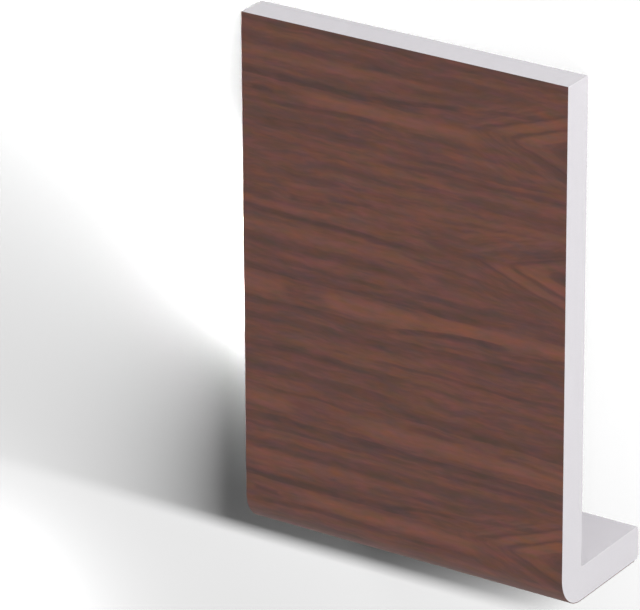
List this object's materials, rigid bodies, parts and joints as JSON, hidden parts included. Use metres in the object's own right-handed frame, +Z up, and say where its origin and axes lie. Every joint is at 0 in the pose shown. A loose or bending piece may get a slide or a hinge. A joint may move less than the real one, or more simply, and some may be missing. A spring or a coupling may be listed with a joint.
{
  "type": "fascia board",
  "caption": "Short length of foiled plastic fascia board: a flat board with a rounded nose and a return leg, woodgrain on the face and white on the back and cut ends.",
  "frame": {"origin": "middle of the board's footprint, on the floor that it lies on", "axes": "+X along the board's length, +Y along the floor from the nose to the top edge, +Z up; the face looks up and leans a little towards +Y"},
  "size_m": [0.1, 0.1546, 0.0391],
  "materials": {
    "white_pvc": "satin white skin, finely cellular on the cut ends",
    "walnut_foil": "satin embossed foil, dark red-brown woodgrain along the length"
  },
  "bodies": {
    "root": {"fascia_board": "white_pvc", "woodgrain_foil": "walnut_foil"}
  },
  "joints": []
}
